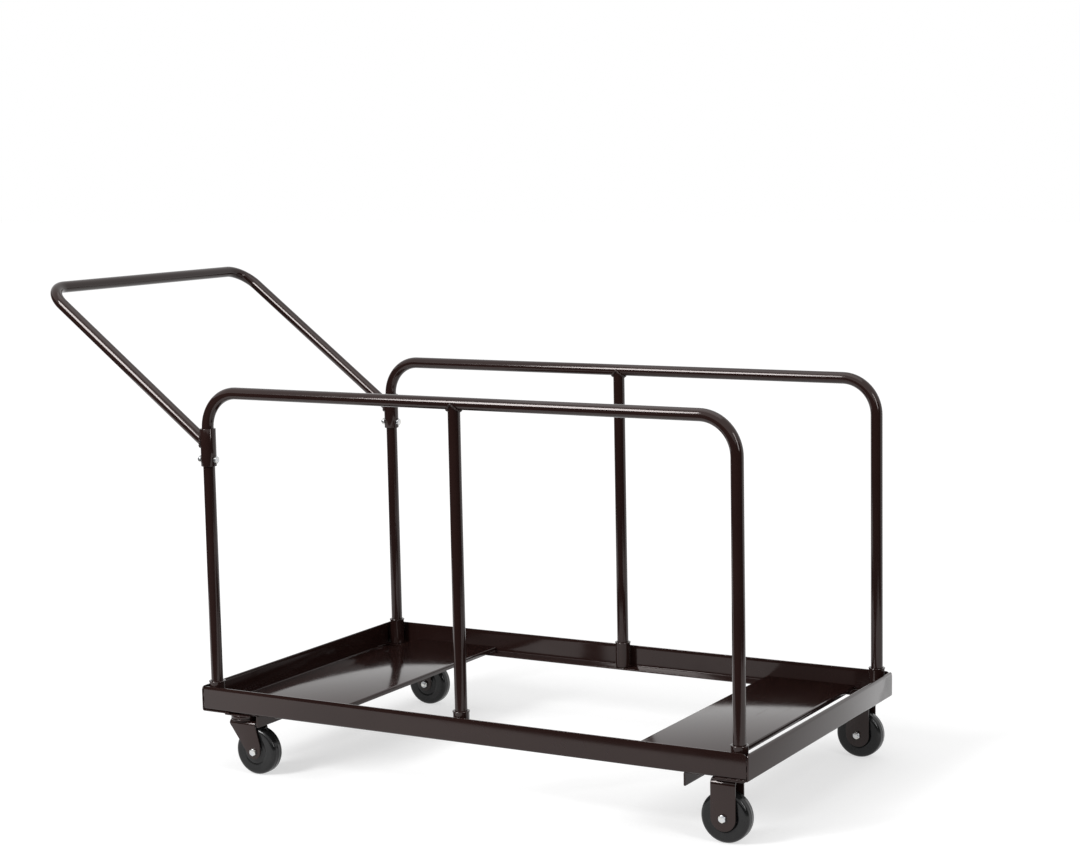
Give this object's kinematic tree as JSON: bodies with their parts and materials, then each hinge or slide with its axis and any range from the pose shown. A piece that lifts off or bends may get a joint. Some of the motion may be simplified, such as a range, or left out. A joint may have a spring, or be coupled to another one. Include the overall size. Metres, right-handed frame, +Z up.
{
  "type": "banquet table trolley",
  "caption": "Low flat-base trolley of bent steel angle on swivel and rigid casters, with a tube hoop along each side and a raised push handle at one end.",
  "frame": {"origin": "on the floor, below the middle of the whole trolley's box", "axes": "+X along the base away from the handle, +Y across from the front side to the rear, +Z up"},
  "size_m": [1.6957, 0.7408, 1.0401],
  "materials": {
    "brown_paint": "gloss powder coat, dark brown",
    "zinc": "bright zinc plated",
    "bearing_steel": "plain ground steel",
    "black_rubber": "hard black rubber, satin"
  },
  "bodies": {
    "frame": {"front_side_rail": "brown_paint", "rear_side_rail": "brown_paint", "left_end_rail": "brown_paint", "right_end_rail": "brown_paint", "left_cross_angle": "brown_paint", "right_cross_angle": "brown_paint", "left_deck": "brown_paint", "right_deck": "brown_paint", "front_left_socket": "brown_paint", "front_middle_socket": "brown_paint", "front_right_socket": "brown_paint", "rear_left_socket": "brown_paint", "rear_middle_socket": "brown_paint", "rear_right_socket": "brown_paint", "front_hoop": "brown_paint", "rear_hoop": "brown_paint", "front_post": "brown_paint", "rear_post": "brown_paint", "handle_bar": "brown_paint", "front_handle_sleeve": "brown_paint", "rear_handle_sleeve": "brown_paint", "front_sleeve_bolt": "zinc", "rear_sleeve_bolt": "zinc", "front_sleeve_nut": "zinc", "rear_sleeve_nut": "zinc", "front_left_plate": "brown_paint", "front_left_kingpin": "zinc", "front_right_plate": "brown_paint", "front_right_rivet": "zinc", "front_right_fork": "brown_paint", "front_right_bush": "bearing_steel", "front_right_axle": "zinc", "front_right_axle_nut": "zinc", "rear_left_plate": "brown_paint", "rear_left_kingpin": "zinc", "rear_right_plate": "brown_paint", "rear_right_rivet": "zinc", "rear_right_fork": "brown_paint", "rear_right_bush": "bearing_steel", "rear_right_axle": "zinc", "rear_right_axle_nut": "zinc"},
    "front_swivel": {"front_left_fork": "brown_paint", "front_left_balls": "bearing_steel", "front_left_bush": "bearing_steel", "front_left_axle": "zinc", "front_left_axle_nut": "zinc"},
    "wheel_front_left": {"front_left_wheel": "black_rubber"},
    "wheel_front_right": {"front_right_wheel": "black_rubber"},
    "rear_swivel": {"rear_left_fork": "brown_paint", "rear_left_balls": "bearing_steel", "rear_left_bush": "bearing_steel", "rear_left_axle": "zinc", "rear_left_axle_nut": "zinc"},
    "wheel_rear_left": {"rear_left_wheel": "black_rubber"},
    "wheel_rear_right": {"rear_right_wheel": "black_rubber"}
  },
  "joints": [
    {"name": "front_swivel_turn", "type": "hinge", "parent": "frame", "child": "front_swivel", "pos_m": [-0.34315, -0.3383, 0.116], "axis": [0, 0, 1], "continuous": true},
    {"name": "front_left_wheel_spin", "type": "hinge", "parent": "front_swivel", "child": "wheel_front_left", "pos_m": [-0.30815, -0.3383, 0.0508], "axis": [0, 1, 0], "continuous": true},
    {"name": "front_right_wheel_spin", "type": "hinge", "parent": "frame", "child": "wheel_front_right", "pos_m": [0.78885, -0.3383, 0.0508], "axis": [0, 1, 0], "continuous": true},
    {"name": "rear_swivel_turn", "type": "hinge", "parent": "frame", "child": "rear_swivel", "pos_m": [-0.34315, 0.3383, 0.116], "axis": [0, 0, 1], "continuous": true},
    {"name": "rear_left_wheel_spin", "type": "hinge", "parent": "rear_swivel", "child": "wheel_rear_left", "pos_m": [-0.30815, 0.3383, 0.0508], "axis": [0, 1, 0], "continuous": true},
    {"name": "rear_right_wheel_spin", "type": "hinge", "parent": "frame", "child": "wheel_rear_right", "pos_m": [0.78885, 0.3383, 0.0508], "axis": [0, 1, 0], "continuous": true}
  ]
}
